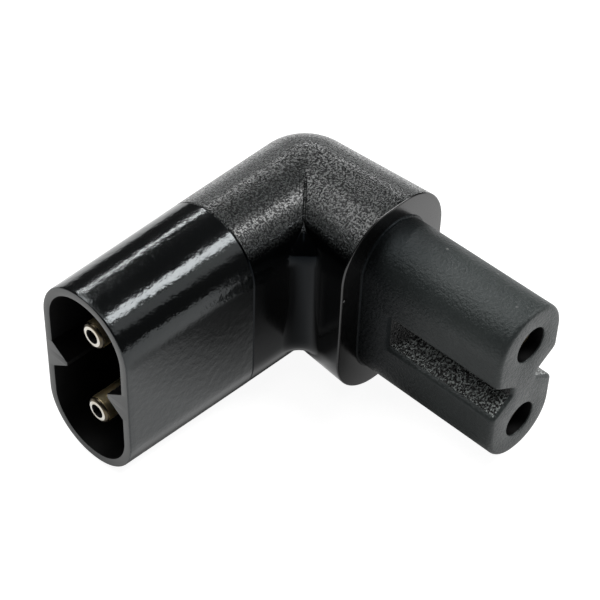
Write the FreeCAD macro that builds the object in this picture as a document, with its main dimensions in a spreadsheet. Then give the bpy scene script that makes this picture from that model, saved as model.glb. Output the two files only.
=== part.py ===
import FreeCAD, Part
import math
import os
import Sketcher

# Right-angle adapter with a figure-eight inlet on one arm and a figure-eight
# connector nose on the other. Both arms lie level and cross at the corner. The
# inlet opens toward -X, the nose points toward -Y, and the long way of the
# figure eight is vertical. While a piece is drawn, the crossing of the two arms'
# centre lines is at the origin; each piece's placement then stands the part on
# its underside, centred over the origin.

doc = FreeCAD.newDocument("figure_eight_adapter")

# Driving dimensions in millimetres
SIZES = [
    ("pin_pitch", 8.6, "between the two pins, and the two contacts"),
    ("pin_diameter", 2.4, "of a pin in the inlet, which a contact's bore fits too"),
    ("pin_bore", 1.1, "of the hollow in a pin's open end"),
    ("pin_bore_depth", 3.0, "of that hollow"),
    ("pin_nose", 0.38, "of the rounding round a pin's open end"),
    ("pin_recess", 0.8, "from the rim back to the end of the pins"),
    ("pin_shoulder_diameter", 3.2, "of a pin behind the inlet's floor"),
    ("pin_shoulder_inset", 0.12, "from the inlet's floor back to that shoulder"),
    ("inlet_reach", 24.8, "from the nose arm's centre line to the rim"),
    ("rim_half_width", 4.95, "of the inlet's outside at the rim"),
    ("rim_half_height", 9.1, "of the inlet's outside at the rim"),
    ("crown_flat", 0.1, "half of the flat above a figure-eight outline's round"),
    ("rim_edge", 0.2, "bevel round the rim's outer edge"),
    ("shroud_wall", 0.8, "of the inlet at the rim"),
    ("cavity_depth", 12.4, "from the rim to the inlet's floor"),
    ("key_crest", 2.4, "from the centre plane to the crest of a key"),
    ("key_half_height", 1.44, "of a key where it leaves the wall"),
    ("key_crest_half_height", 0.22, "of the flat along a key's crest"),
    ("seam_reach", 11.2, "from the nose arm's centre line to the seam"),
    ("seam_swell", 0.2, "that the seam is wider than the rim, on each side"),
    ("seam_rise", 0.4, "that the seam is taller than the rim, above and below"),
    ("seam_edge", 0.1, "bevel on both sides of the seam"),
    ("corner_swell", 0.55, "that the crossing is wider than the rim, on each side"),
    ("corner_rise", 0.28, "that the crossing is taller than the rim, above and below"),
    ("corner_flat", 0.5, "half of the flat above the crossing's round"),
    ("inner_fillet", 1.8, "radius of the inner corner of the elbow"),
    ("inner_shoulder", 4.4, "radius over which that fillet fades, above and below"),
    ("collar_reach", 10.1, "from the inlet arm's centre line to the collar"),
    ("collar_swell", 1.15, "that the collar is wider than the rim, on each side"),
    ("collar_rise", 0.45, "that the collar is taller than the rim, above and below"),
    ("collar_flat", 1.0, "half of the flat above the collar's round"),
    ("collar_edge", 0.15, "bevel round the collar's outer edge"),
    ("connector_reach", 24.75, "from the inlet arm's centre line to the nose's end"),
    ("nose_half_width", 3.75, "of the nose at its free end"),
    ("nose_half_height", 7.8, "of the nose at its free end"),
    ("nose_edge", 0.35, "bevel round the nose's end"),
    ("groove_floor", 1.55, "from the centre plane to the bottom of a groove"),
    ("groove_half_height", 1.83, "of a groove at the nose's side"),
    ("groove_floor_half_height", 0.45, "of the flat at a groove's bottom"),
    ("groove_start", 3.2, "from the collar to the blind end of a groove"),
    ("groove_run_out", 1.1, "of the slope at the blind end of a groove"),
    ("entry_diameter", 3.25, "of the two holes in the nose"),
    ("entry_lead_in", 0.12, "chamfer at the mouth of those holes"),
    ("contact_recess", 1.2, "from the nose's end back to the contacts"),
    ("contact_wall", 0.32, "thickness of a contact's sleeve"),
    ("contact_slot", 0.5, "width of the two slots that let a contact spring"),
    ("contact_slot_length", 7.5, "of those slots, from the contact's mouth"),
    ("contact_grip", 0.02, "between a pin and the contact's bore, on the radius"),
    ("contact_bore_depth", 12.0, "of a contact's bore, from its mouth"),
    ("contact_lead_in", 0.15, "chamfer at a contact's mouth"),
    ("contact_bead_diameter", 4.1, "of the ring that locks a contact in the nose"),
    ("contact_bead_length", 0.8, "of that ring along the contact"),
    ("contact_tail_diameter", 2.6, "of a contact behind that ring"),
    ("neck_inset", 1.35, "from the outside in to the neck behind each face"),
    ("neck_length", 1.2, "of the neck that the elbow is moulded round"),
    ("flange_inset", 0.8, "from the outside in to the flange behind the neck"),
    ("flange_length", 1.3, "of that flange"),
    ("plug_bevel", 2.6, "cut from each corner of a neck or a flange"),
    ("strap_reach", 4.2, "from the arms' centre lines to a strap's inner faces"),
    ("strap_thickness", 0.6, "of the brass strap from a pin to its contact"),
    ("strap_width", 3.2, "of that strap"),
    ("strap_end", 1.8, "that the strap runs past each centre line"),
    ("strap_bend", 0.5, "inner radius of the strap's bend"),
    ("seat_gap", 0.02, "between a part and what is moulded or pressed round it"),
]

sheet = doc.addObject("Spreadsheet::Sheet", "dims")
for row, (alias, size, meaning) in enumerate(SIZES, start=1):
    sheet.set("A%d" % row, alias)
    sheet.set("B%d" % row, str(size))
    sheet.set("C%d" % row, meaning)
    sheet.setAlias("B%d" % row, alias)
doc.recompute()

# Half widths and half heights of the outside, all grown from the rim's
SEAM_WIDE = "(dims.rim_half_width + dims.seam_swell)"
SEAM_HIGH = "(dims.rim_half_height + dims.seam_rise)"
CORNER_WIDE = "(dims.rim_half_width + dims.corner_swell)"
CORNER_HIGH = "(dims.rim_half_height + dims.corner_rise)"
COLLAR_WIDE = "(dims.rim_half_width + dims.collar_swell)"
COLLAR_HIGH = "(dims.rim_half_height + dims.collar_rise)"

# Sections of the outside, each as half width, half height and corner radius
RIM_SECTION = ["dims.rim_half_width", "dims.rim_half_height",
               "(dims.rim_half_width - dims.crown_flat)"]
NOSE_SECTION = ["dims.nose_half_width", "dims.nose_half_height",
                "(dims.nose_half_width - dims.crown_flat)"]
SEAM_SECTION = [SEAM_WIDE, SEAM_HIGH, "(" + SEAM_WIDE + " - dims.crown_flat)"]
CORNER_SECTION = [CORNER_WIDE, CORNER_HIGH, "(" + CORNER_WIDE + " - dims.corner_flat)"]
COLLAR_SECTION = [COLLAR_WIDE, COLLAR_HIGH, "(" + COLLAR_WIDE + " - dims.collar_flat)"]

# How the finished part stands over the origin
STAND_X = "(dims.inlet_reach - max(%s; %s)) / 2" % (COLLAR_WIDE, CORNER_WIDE)
STAND_Y = "(dims.connector_reach - max(%s; %s)) / 2" % (CORNER_WIDE, SEAM_WIDE)
STAND_Z = "max(%s; %s; %s)" % (COLLAR_HIGH, CORNER_HIGH, SEAM_HIGH)

# Where the moulded pieces end inside the elbow, and where the straps start
INLET_FLOOR = "(dims.inlet_reach - dims.cavity_depth)"
INLET_BACK = "(dims.seam_reach - dims.neck_length - dims.flange_length)"
INSERT_BACK = "(dims.collar_reach - dims.neck_length - dims.flange_length)"
STRAP_FACE = "(dims.strap_reach + dims.strap_thickness)"
LEVELS = [("upper", "dims.pin_pitch / 2"), ("lower", "-dims.pin_pitch / 2")]

# Half height of a groove's flat, where its floor has risen almost to the nose's side
GROOVE_MOUTH = ("dims.groove_half_height"
                " - (dims.groove_half_height - dims.groove_floor_half_height)"
                " * dims.seat_gap / (dims.nose_half_width - dims.groove_floor)")

# The upright axis of the inner bend, a fillet's radius clear of both arms' walls
BEND_CLEAR = "(" + CORNER_WIDE + " + dims.inner_fillet)"
WEB_AXIS_X = "(%s + (%s - %s) * %s / dims.collar_reach)" % (
    BEND_CLEAR, COLLAR_WIDE, CORNER_WIDE, BEND_CLEAR)
WEB_AXIS_Y = "(%s - (%s - %s) * %s / dims.seam_reach)" % (
    BEND_CLEAR, CORNER_WIDE, SEAM_WIDE, BEND_CLEAR)


def number(expression):
    """What an expression of the named sizes comes to."""
    return float(sheet.evalExpression(expression))


def new_body(label, height="0"):
    """An empty body, stood with the others and raised by height."""
    part = doc.addObject("PartDesign::Body", label)
    part.Label = label
    part.setExpression("Placement.Base.x", STAND_X)
    part.setExpression("Placement.Base.y", STAND_Y)
    part.setExpression("Placement.Base.z", STAND_Z + " + " + height)
    return part


def new_sketch(part, role, distance, name):
    """A sketch on one of the body's own planes, moved out by distance."""
    plane = next(p for p in part.Origin.OriginFeatures if p.Role == role)
    sketch = part.newObject("Sketcher::SketchObject", part.Name + "_" + name)
    sketch.AttachmentSupport = (plane, [""])
    sketch.MapMode = "FlatFace"
    sketch.setExpression("AttachmentOffset.Base.z", distance)
    return sketch


def on_inlet_arm(part, reach, name):
    """A sketch square to the inlet's arm, at reach from the nose's arm."""
    return new_sketch(part, "YZ_Plane", "-" + reach, name)


def on_nose_arm(part, reach, name):
    """A sketch square to the nose's arm, at reach from the inlet's arm."""
    return new_sketch(part, "XZ_Plane", reach, name)


def hold(sketch, kind, place, expression):
    """Give one dimension of the sketch and tie it to its expression."""
    index = sketch.addConstraint(Sketcher.Constraint(kind, *place, number(expression)))
    sketch.setExpression("Constraints[%d]" % index, expression)


def rounded_outline(sketch, half_width, half_height, corner):
    """A rounded rectangle about the sketch's origin: four arcs, four lines."""
    wide, high, radius = number(half_width), number(half_height), number(corner)
    axis = FreeCAD.Vector(0, 0, 1)
    centres = [(1, 1), (-1, 1), (-1, -1), (1, -1)]
    arcs = []
    for turn, (side, up) in enumerate(centres):
        middle = FreeCAD.Vector(side * (wide - radius), up * (high - radius), 0)
        circle = Part.Circle(middle, axis, radius)
        start = turn * math.pi / 2
        arcs.append(sketch.addGeometry(Part.ArcOfCircle(circle, start, start + math.pi / 2)))
    flats = []
    for turn, arc in enumerate(arcs):
        following = arcs[(turn + 1) % 4]
        start = sketch.getPoint(arc, 2)
        end = sketch.getPoint(following, 1)
        flats.append(sketch.addGeometry(Part.LineSegment(start, end)))
    for turn, flat in enumerate(flats):
        following = arcs[(turn + 1) % 4]
        sketch.addConstraint(Sketcher.Constraint("Tangent", arcs[turn], 2, flat, 1))
        sketch.addConstraint(Sketcher.Constraint("Tangent", flat, 2, following, 1))
        way = "Horizontal" if turn % 2 == 0 else "Vertical"
        sketch.addConstraint(Sketcher.Constraint(way, flat))
    for arc in arcs[1:]:
        sketch.addConstraint(Sketcher.Constraint("Equal", arcs[0], arc))
    sketch.addConstraint(Sketcher.Constraint("Symmetric", arcs[0], 3, arcs[2], 3, -1, 1))
    hold(sketch, "DistanceX", (-1, 1, arcs[0], 3), half_width + " - " + corner)
    hold(sketch, "DistanceY", (-1, 1, arcs[0], 3), half_height + " - " + corner)
    hold(sketch, "Radius", (arcs[0],), corner)


def straight_outline(sketch, points):
    """A closed outline through points, each held by its two distances."""
    spots = [FreeCAD.Vector(number(x), number(y), 0) for x, y in points]
    lines = []
    for index, spot in enumerate(spots):
        following = spots[(index + 1) % len(spots)]
        lines.append(sketch.addGeometry(Part.LineSegment(spot, following)))
    for index, line in enumerate(lines):
        following = lines[(index + 1) % len(lines)]
        sketch.addConstraint(Sketcher.Constraint("Coincident", line, 2, following, 1))
    for line, (x, y) in zip(lines, points):
        if x == "0":
            sketch.addConstraint(Sketcher.Constraint("PointOnObject", line, 1, -2))
        else:
            hold(sketch, "DistanceX", (-1, 1, line, 1), x)
        if y == "0":
            sketch.addConstraint(Sketcher.Constraint("PointOnObject", line, 1, -1))
        else:
            hold(sketch, "DistanceY", (-1, 1, line, 1), y)


def round_outline(sketch, height, diameter):
    """A circle on the sketch's upright axis, at height."""
    centre = FreeCAD.Vector(0, number(height), 0)
    circle = Part.Circle(centre, FreeCAD.Vector(0, 0, 1), number(diameter) / 2)
    ring = sketch.addGeometry(circle)
    sketch.addConstraint(Sketcher.Constraint("PointOnObject", ring, 3, -2))
    if height == "0":
        sketch.addConstraint(Sketcher.Constraint("PointOnObject", ring, 3, -1))
    else:
        hold(sketch, "DistanceY", (-1, 1, ring, 3), height)
    hold(sketch, "Diameter", (ring,), diameter)


def pushed(part, kind, sketch, length, reverse=False):
    """A pad or a pocket of the sketch, checked to add or to cut."""
    before = part.Shape.Volume if part.Tip else 0.0
    feature = part.newObject("PartDesign::" + kind, sketch.Name + "_" + kind.lower())
    feature.Profile = sketch
    feature.setExpression("Length", length)
    feature.Reversed = reverse
    doc.recompute()
    change = part.Shape.Volume - before
    if (change > 0) != (kind == "Pad"):
        raise RuntimeError("%s changed nothing" % feature.Name)
    return feature


def lofted(part, kind, sketches, name):
    """A ruled loft through the sketches, added or cut."""
    loft = part.newObject("PartDesign::" + kind, part.Name + "_" + name)
    loft.Profile = sketches[0]
    loft.Sections = sketches[1:]
    loft.Ruled = True
    doc.recompute()
    return loft


def edges_where(shape, wanted):
    """Names of the shape's edges that pass the test."""
    return ["Edge%d" % index for index, edge in enumerate(shape.Edges, start=1) if wanted(edge)]


def eased(part, kind, wanted, size, name):
    """A fillet or a chamfer on the edges that pass the test."""
    base = part.Tip
    edges = edges_where(base.Shape, wanted)
    feature = part.newObject("PartDesign::" + kind, part.Name + "_" + name)
    feature.Base = (base, edges)
    feature.setExpression("Radius" if kind == "Fillet" else "Size", size)
    doc.recompute()
    return feature


def inset_outline(sketch, section, inset):
    """The section's outline, moved in by inset all round."""
    rounded_outline(sketch, *["(" + size + " - " + inset + ")" for size in section])


def plug_outline(sketch, section, inset):
    """A rectangle with bevelled corners, inset from the section all round."""
    wide = "(" + section[0] + " - " + inset + ")"
    high = "(" + section[1] + " - " + inset + ")"
    low_wide = "(" + wide + " - dims.plug_bevel)"
    low_high = "(" + high + " - dims.plug_bevel)"
    straight_outline(sketch, [
        (wide, low_high), (low_wide, high), ("-" + low_wide, high), ("-" + wide, low_high),
        ("-" + wide, "-" + low_high), ("-" + low_wide, "-" + high),
        (low_wide, "-" + high), (wide, "-" + low_high),
    ])


def half_outline(sketch, half_width, half_height, corner):
    """The half of a rounded rectangle on one side of the upright axis."""
    wide, high, radius = number(half_width), number(half_height), number(corner)
    axis = FreeCAD.Vector(0, 0, 1)
    upper = Part.Circle(FreeCAD.Vector(wide - radius, high - radius, 0), axis, radius)
    lower = Part.Circle(FreeCAD.Vector(wide - radius, radius - high, 0), axis, radius)
    lower_arc = sketch.addGeometry(Part.ArcOfCircle(lower, -math.pi / 2, 0))
    upper_arc = sketch.addGeometry(Part.ArcOfCircle(upper, 0, math.pi / 2))
    foot, head = FreeCAD.Vector(0, -high, 0), FreeCAD.Vector(0, high, 0)
    spots = [(foot, sketch.getPoint(lower_arc, 1)), (sketch.getPoint(lower_arc, 2),
             sketch.getPoint(upper_arc, 1)), (sketch.getPoint(upper_arc, 2), head), (head, foot)]
    bottom, side, top, spine = [
        sketch.addGeometry(Part.LineSegment(first, second)) for first, second in spots]
    for first, second in ((bottom, lower_arc), (lower_arc, side), (side, upper_arc),
                          (upper_arc, top)):
        sketch.addConstraint(Sketcher.Constraint("Tangent", first, 2, second, 1))
    for first, second in ((top, spine), (spine, bottom)):
        sketch.addConstraint(Sketcher.Constraint("Coincident", first, 2, second, 1))
    for line, way in ((bottom, "Horizontal"), (side, "Vertical"), (top, "Horizontal")):
        sketch.addConstraint(Sketcher.Constraint(way, line))
    sketch.addConstraint(Sketcher.Constraint("PointOnObject", spine, 1, -2))
    sketch.addConstraint(Sketcher.Constraint("PointOnObject", spine, 2, -2))
    sketch.addConstraint(Sketcher.Constraint("Symmetric", lower_arc, 3, upper_arc, 3, -1))
    hold(sketch, "DistanceX", (-1, 1, upper_arc, 3), half_width + " - " + corner)
    hold(sketch, "DistanceY", (-1, 1, upper_arc, 3), half_height + " - " + corner)
    hold(sketch, "Radius", (upper_arc,), corner)


def turned(part, profile, axis):
    """A full turn of the profile about one of its sketch's axes."""
    turn = part.newObject("PartDesign::Revolution", profile.Name + "_turned")
    turn.Profile = profile
    turn.ReferenceAxis = (profile, [axis])
    turn.Angle = 360
    doc.recompute()
    return turn


def round_edges(place, radius):
    """A test for full circles of a radius, square to Y at a place."""
    at, size = number(place), number(radius)

    def matches(edge):
        middle = edge.CenterOfMass.y
        return abs(middle - at) < 0.001 and abs(edge.Length - 2 * math.pi * size) < 0.001

    return matches


def upright_edges(corner):
    """A test for upright edges on the diagonal, at corner from both centre lines."""
    at = number(corner)

    def matches(edge):
        upright = edge.BoundBox.XLength < 0.001 and edge.BoundBox.YLength < 0.001
        middle = edge.CenterOfMass
        return upright and abs(middle.x - at) < 0.001 and abs(middle.y - at) < 0.001

    return matches


def in_plane_of(sketch):
    """A test for edges that lie flat in the sketch's plane."""
    place = sketch.Placement
    normal = place.Rotation.multVec(FreeCAD.Vector(0, 0, 1))

    def lies_flat(edge):
        ends = [edge.valueAt(at) for at in (edge.FirstParameter, edge.LastParameter)]
        ends.append(edge.CenterOfMass)
        return all(abs((end - place.Base).dot(normal)) < 0.001 for end in ends)

    return lies_flat


# The inlet's housing: a hard figure-eight shroud round the pins, flush with the
# elbow at the seam. Behind the seam a neck and a flange sit inside the elbow, so
# that it can't be pulled out. Two keys run along the walls of its cavity.

def inlet_housing():
    part = new_body("inlet_housing")
    rim = on_inlet_arm(part, "dims.inlet_reach", "rim")
    rounded_outline(rim, *RIM_SECTION)
    pushed(part, "Pad", rim, "2 * dims.rim_edge")
    eased(part, "Chamfer", in_plane_of(rim), "dims.rim_edge", "rim_edge")
    land = on_inlet_arm(part, "(dims.inlet_reach - 2 * dims.rim_edge)", "land")
    rounded_outline(land, *RIM_SECTION)
    seam = on_inlet_arm(part, "(dims.seam_reach + dims.seam_edge)", "seam")
    rounded_outline(seam, *SEAM_SECTION)
    lofted(part, "AdditiveLoft", [land, seam], "shroud")
    bevel = on_inlet_arm(part, "dims.seam_reach", "bevel")
    inset_outline(bevel, SEAM_SECTION, "dims.seam_edge")
    lofted(part, "AdditiveLoft", [seam, bevel], "seam_bevel")

    neck = on_inlet_arm(part, "dims.seam_reach", "neck")
    plug_outline(neck, SEAM_SECTION, "dims.neck_inset")
    pushed(part, "Pad", neck, "dims.neck_length + dims.flange_length")
    flange = on_inlet_arm(part, "(dims.seam_reach - dims.neck_length)", "flange")
    plug_outline(flange, SEAM_SECTION, "dims.flange_inset")
    pushed(part, "Pad", flange, "dims.flange_length")

    mouth = on_inlet_arm(part, "dims.inlet_reach", "mouth")
    inset_outline(mouth, RIM_SECTION, "dims.shroud_wall")
    pushed(part, "Pocket", mouth, "dims.cavity_depth", reverse=True)
    keys = on_inlet_arm(part, "dims.inlet_reach", "keys")
    for side in ("", "-"):
        key_outline(keys, side)
    pushed(part, "Pad", keys, "dims.cavity_depth + dims.seat_gap")

    shoulder = "(" + INLET_FLOOR + " - dims.pin_shoulder_inset)"
    for name, height in LEVELS:
        hole = on_inlet_arm(part, INLET_FLOOR, name + "_hole")
        round_outline(hole, height, "dims.pin_diameter + 2 * dims.seat_gap")
        pushed(part, "Pocket", hole, "dims.pin_shoulder_inset", reverse=True)
        seat = on_inlet_arm(part, shoulder, name + "_seat")
        round_outline(seat, height, "dims.pin_shoulder_diameter + 2 * dims.seat_gap")
        pushed(part, "Pocket", seat, shoulder, reverse=True)
    return part


def key_outline(sketch, side):
    """One key: a ridge from inside the wall to its crest."""
    root = side + "(dims.rim_half_width - dims.shroud_wall / 2)"
    wall = side + "(dims.rim_half_width - dims.shroud_wall)"
    crest = side + "dims.key_crest"
    straight_outline(sketch, [
        (root, "dims.key_half_height"),
        (wall, "dims.key_half_height"),
        (crest, "dims.key_crest_half_height"),
        (crest, "-dims.key_crest_half_height"),
        (wall, "-dims.key_half_height"),
        (root, "-dims.key_half_height"),
    ])


# The insert with the figure-eight nose: it has a V groove on each side that stops
# short of the collar, and two through holes for the contacts. The nose goes on
# into the elbow and ends in a flange, which holds it like the housing's.

def connector_insert():
    part = new_body("connector_insert")
    face = on_nose_arm(part, "dims.connector_reach", "face")
    rounded_outline(face, *NOSE_SECTION)
    pushed(part, "Pad", face, "dims.connector_reach - " + INSERT_BACK, reverse=True)
    eased(part, "Chamfer", in_plane_of(face), "dims.nose_edge", "nose_edge")
    flange = on_nose_arm(part, "(dims.collar_reach - dims.neck_length)", "flange")
    plug_outline(flange, COLLAR_SECTION, "dims.flange_inset")
    pushed(part, "Pad", flange, "dims.flange_length", reverse=True)

    blind_end = "(dims.collar_reach + dims.groove_start)"
    full_depth = "(" + blind_end + " + dims.groove_run_out)"
    for name, side in (("left", "-"), ("right", "")):
        section = on_nose_arm(part, full_depth, name + "_groove")
        groove_outline(section, side, "dims.groove_floor", "dims.groove_floor_half_height")
        pushed(part, "Pocket", section, "dims.connector_reach - " + full_depth, reverse=True)
        shallow = on_nose_arm(part, blind_end, name + "_groove_end")
        groove_outline(shallow, side, "(dims.nose_half_width - dims.seat_gap)",
                       "(" + GROOVE_MOUTH + ")")
        lofted(part, "SubtractiveLoft", [section, shallow], name + "_run_out")

    for name, height in LEVELS:
        hole = on_nose_arm(part, "dims.connector_reach", name + "_hole")
        round_outline(hole, height, "dims.entry_diameter")
        pushed(part, "Pocket", hole, "dims.connector_reach")
        ring = on_nose_arm(part, INSERT_BACK, name + "_ring")
        round_outline(ring, height, "dims.contact_bead_diameter + 2 * dims.seat_gap")
        pushed(part, "Pocket", ring, "dims.contact_bead_length + dims.seat_gap", reverse=True)
    eased(part, "Chamfer", entry_edges(face), "dims.entry_lead_in", "entry_lead_in")
    return part


def groove_outline(sketch, side, floor, floor_half_height):
    """A V with a flat bottom, open beyond the nose's side."""
    outside = side + "(dims.nose_half_width + dims.nose_edge)"
    top = side + "dims.nose_half_width"
    straight_outline(sketch, [
        (outside, "dims.groove_half_height"),
        (top, "dims.groove_half_height"),
        (side + floor, floor_half_height),
        (side + floor, "-" + floor_half_height),
        (top, "-dims.groove_half_height"),
        (outside, "-dims.groove_half_height"),
    ])


def entry_edges(face):
    """The rims of the two holes in the nose's end."""
    flat = in_plane_of(face)
    radius = number("dims.entry_diameter / 2")
    return lambda edge: flat(edge) and abs(edge.BoundBox.XLength / 2 - radius) < 0.01


# The elbow: a soft moulding that joins the two hard pieces and fills the corner
# round the straps. The outside of its corner is turned about the crossing of the
# arms, and the arms meet in a mitre inside it, eased by a fillet.

def elbow_overmould():
    part = new_body("elbow_overmould")
    collar = on_nose_arm(part, "dims.collar_reach", "collar")
    rounded_outline(collar, *COLLAR_SECTION)
    pushed(part, "Pad", collar, "2 * dims.collar_edge", reverse=True)
    eased(part, "Chamfer", in_plane_of(collar), "dims.collar_edge", "collar_edge")
    land = on_nose_arm(part, "(dims.collar_reach - 2 * dims.collar_edge)", "land")
    rounded_outline(land, *COLLAR_SECTION)
    crossing = on_nose_arm(part, "0", "nose_crossing")
    rounded_outline(crossing, *CORNER_SECTION)
    lofted(part, "AdditiveLoft", [land, crossing], "nose_arm")

    bevel = on_inlet_arm(part, "dims.seam_reach", "bevel")
    inset_outline(bevel, SEAM_SECTION, "dims.seam_edge")
    seam = on_inlet_arm(part, "(dims.seam_reach - dims.seam_edge)", "seam")
    rounded_outline(seam, *SEAM_SECTION)
    lofted(part, "AdditiveLoft", [bevel, seam], "seam_bevel")
    crossing = on_inlet_arm(part, "0", "inlet_crossing")
    rounded_outline(crossing, *CORNER_SECTION)
    lofted(part, "AdditiveLoft", [seam, crossing], "inlet_arm")
    turned_corner(part)
    inner_web(part)

    neck = on_inlet_arm(part, "dims.seam_reach", "inlet_neck")
    plug_outline(neck, SEAM_SECTION, "(dims.neck_inset - dims.seat_gap)")
    pushed(part, "Pocket", neck, "dims.neck_length + dims.flange_length + dims.seat_gap",
           reverse=True)
    flange = on_inlet_arm(part, "(dims.seam_reach - dims.neck_length + dims.seat_gap)",
                          "inlet_flange")
    plug_outline(flange, SEAM_SECTION, "(dims.flange_inset - dims.seat_gap)")
    pushed(part, "Pocket", flange, "dims.flange_length + 2 * dims.seat_gap", reverse=True)
    neck = on_nose_arm(part, "dims.collar_reach", "nose_neck")
    inset_outline(neck, NOSE_SECTION, "-dims.seat_gap")
    pushed(part, "Pocket", neck, "dims.neck_length + dims.flange_length + dims.seat_gap")
    flange = on_nose_arm(part, "(dims.collar_reach - dims.neck_length + dims.seat_gap)",
                         "nose_flange")
    plug_outline(flange, COLLAR_SECTION, "(dims.flange_inset - dims.seat_gap)")
    pushed(part, "Pocket", flange, "dims.flange_length + 2 * dims.seat_gap")
    for name, height in LEVELS:
        strap_way(part, name, height)
    return part


def strap_way(part, name, height):
    """The space that the moulding leaves round one strap and the tails it joins."""
    tail = on_inlet_arm(part, INLET_BACK, name + "_pin_tail")
    round_outline(tail, height, "dims.pin_shoulder_diameter + 2 * dims.seat_gap")
    pushed(part, "Pocket", tail, INLET_BACK + " - " + STRAP_FACE, reverse=True)
    tail = on_nose_arm(part, INSERT_BACK, name + "_contact_tail")
    round_outline(tail, height, "dims.contact_tail_diameter + 2 * dims.seat_gap")
    pushed(part, "Pocket", tail, INSERT_BACK + " - " + STRAP_FACE)
    foot = "(" + height + " - dims.strap_width / 2 - dims.seat_gap)"
    bar = new_sketch(part, "XY_Plane", foot, name + "_strap")
    strap_outline(bar, "dims.seat_gap")
    pushed(part, "Pocket", bar, "dims.strap_width + 2 * dims.seat_gap", reverse=True)
    strap_bend(part, "dims.seat_gap", name + "_strap_")


def strap_outline(sketch, grown):
    """An L seen from above, square to both arms, grown all round."""
    outer = "-(" + STRAP_FACE + " + " + grown + ")"
    inner = "-(dims.strap_reach - " + grown + ")"
    end = "(dims.strap_end + " + grown + ")"
    straight_outline(sketch, [(outer, end), (outer, outer), (end, outer),
                              (end, inner), (inner, inner), (inner, end)])


def strap_bend(part, grown, name):
    """Round the strap's bend, or the bend of the space round it."""
    outer = upright_edges("-(" + STRAP_FACE + " + " + grown + ")")
    eased(part, "Fillet", outer, "dims.strap_bend + dims.strap_thickness + " + grown,
          name + "outer_bend")
    inner = upright_edges("-(dims.strap_reach - " + grown + ")")
    eased(part, "Fillet", inner, "dims.strap_bend - " + grown, name + "inner_bend")


def turned_corner(part):
    """A quarter turn of half the corner's section, about the upright axis."""
    sketch = on_nose_arm(part, "0", "corner_profile")
    half_outline(sketch, *CORNER_SECTION)
    turn = part.newObject("PartDesign::Revolution", part.Name + "_corner")
    turn.Profile = sketch
    turn.ReferenceAxis = (sketch, ["V_Axis"])
    turn.Angle = 90
    doc.recompute()
    return turn


def inner_web(part):
    """The fillet inside the corner, turned about the inner bend's axis.

    Its wall is as tall as the flat of the arms' sides; above and below that it
    falls back in three bevels, as a rounding would, and fades into the mitre.
    """
    sketch = on_nose_arm(part, WEB_AXIS_Y, "web_profile")
    wall = "-" + WEB_AXIS_X + " + dims.inner_fillet"
    turn_height = "(" + CORNER_HIGH + " - " + CORNER_SECTION[2] + ")"
    bevels = []
    for degrees in (0, 30, 60, 90):
        back, up = 1 - math.cos(math.radians(degrees)), math.sin(math.radians(degrees))
        bevels.append((wall + " + %.5f * dims.inner_shoulder" % back,
                       "(" + turn_height + " + %.5f * dims.inner_shoulder)" % up))
    straight_outline(sketch, bevels + [(x, "-" + z) for x, z in reversed(bevels)])
    left = -number(WEB_AXIS_X)
    bend_axis = sketch.addGeometry(Part.LineSegment(
        FreeCAD.Vector(left, -1, 0), FreeCAD.Vector(left, 1, 0)), True)
    sketch.addConstraint(Sketcher.Constraint("Vertical", bend_axis))
    hold(sketch, "DistanceX", (-1, 1, bend_axis, 1), "-" + WEB_AXIS_X)
    turn = part.newObject("PartDesign::Revolution", part.Name + "_web")
    turn.Profile = sketch
    turn.ReferenceAxis = (sketch, ["Axis0"])
    turn.Angle = 90
    doc.recompute()
    return turn


# The pins: turned, with a rounded and hollow open end, a shoulder that the floor
# of the inlet is moulded round, and a flat back end that is welded to a strap.

def inlet_pin(name, height):
    part = new_body("inlet_pin_" + name, height)
    profile = on_nose_arm(part, "0", "profile")
    tip = "-(dims.inlet_reach - dims.pin_recess)"
    shoulder = "-(" + INLET_FLOOR + " - dims.pin_shoulder_inset)"
    shank = "dims.pin_diameter / 2"
    straight_outline(profile, [
        (tip, "dims.pin_bore / 2"),
        (tip, shank + " - dims.pin_nose"),
        (tip + " + 0.3 * dims.pin_nose", shank + " - 0.3 * dims.pin_nose"),
        (tip + " + dims.pin_nose", shank),
        (shoulder + " + dims.seat_gap", shank),
        (shoulder + " + dims.seat_gap", "dims.pin_shoulder_diameter / 2"),
        ("-(" + STRAP_FACE + " + dims.seat_gap)", "dims.pin_shoulder_diameter / 2"),
        ("-(" + STRAP_FACE + " + dims.seat_gap)", "0"),
        (tip + " + dims.pin_bore_depth", "0"),
        (tip + " + dims.pin_bore_depth", "dims.pin_bore / 2"),
    ])
    turned(part, profile, "H_Axis")
    return part


# The contacts: sleeves slotted on two sides so that they spring on a pin, with a
# ring seated in the back of the insert and a flat end welded to a strap.

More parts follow.
